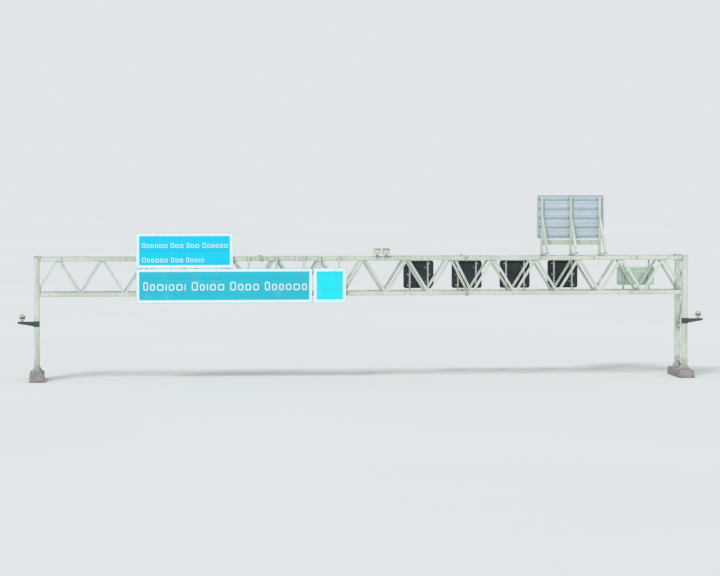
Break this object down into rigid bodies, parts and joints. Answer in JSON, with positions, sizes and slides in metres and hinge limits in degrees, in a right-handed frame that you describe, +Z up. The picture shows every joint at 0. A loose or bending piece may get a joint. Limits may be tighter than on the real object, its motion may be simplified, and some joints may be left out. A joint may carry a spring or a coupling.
{
  "type": "1:2 scale model of an overhead sign gantry",
  "caption": "Lattice box girder on braced column legs across a wide road, with direction signs on one face and lane signals on the other; half-size model.",
  "frame": {"origin": "on the ground at the middle of the span, midway between the two truss sides", "axes": "+X along the span to the right seen from the picture, +Y to the far side, +Z up"},
  "size_m": [26.15, 2.4, 6.975],
  "materials": {
    "painted_steel": "weathered light grey paint over galvanised steel",
    "aluminium_rail": "dull extruded aluminium",
    "concrete": "cast concrete, weathered",
    "sign_face": "blue reflective sheeting on aluminium",
    "sign_back": "matt blue-grey coating",
    "signal_housing": "matt black paint",
    "message_housing": "satin light grey paint",
    "detector_housing": "satin off-white paint",
    "dark_green_paint": "dark green paint",
    "camera_housing": "semi-gloss light grey"
  },
  "bodies": {
    "root": {"bottom_bracing_left": "painted_steel", "bottom_bracing_middle": "painted_steel", "bottom_bracing_right": "painted_steel", "detector_housings": "detector_housing", "detector_saddle": "painted_steel", "end_sign_panel": "sign_face", "end_sign_rails": "aluminium_rail", "front_sign_posts": "painted_steel", "front_truss_left": "painted_steel", "front_truss_middle": "painted_steel", "front_truss_right": "painted_steel", "lane_signal_1": "signal_housing", "lane_signal_2": "signal_housing", "lane_signal_3": "signal_housing", "lane_signal_4": "signal_housing", "left_camera_arm": "dark_green_paint", "left_camera_dome": "camera_housing", "left_front_column": "painted_steel", "left_leg_bracing": "painted_steel", "left_plinth": "concrete", "left_rear_column": "painted_steel", "lower_sign_panel": "sign_face", "lower_sign_rails": "aluminium_rail", "message_sign": "message_housing", "rear_sign_frames": "painted_steel", "rear_sign_panel": "sign_back", "rear_sign_rails": "aluminium_rail", "rear_sign_tie_beam": "painted_steel", "rear_truss_left": "painted_steel", "rear_truss_middle": "painted_steel", "rear_truss_right": "painted_steel", "right_camera_arm": "dark_green_paint", "right_camera_dome": "camera_housing", "right_front_column": "painted_steel", "right_leg_bracing": "painted_steel", "right_plinth": "concrete", "right_rear_column": "painted_steel", "signal_mount_rails": "aluminium_rail", "top_bracing_left": "painted_steel", "top_bracing_middle": "painted_steel", "top_bracing_right": "painted_steel", "upper_sign_panel": "sign_face", "upper_sign_rails": "aluminium_rail"}
  },
  "joints": []
}
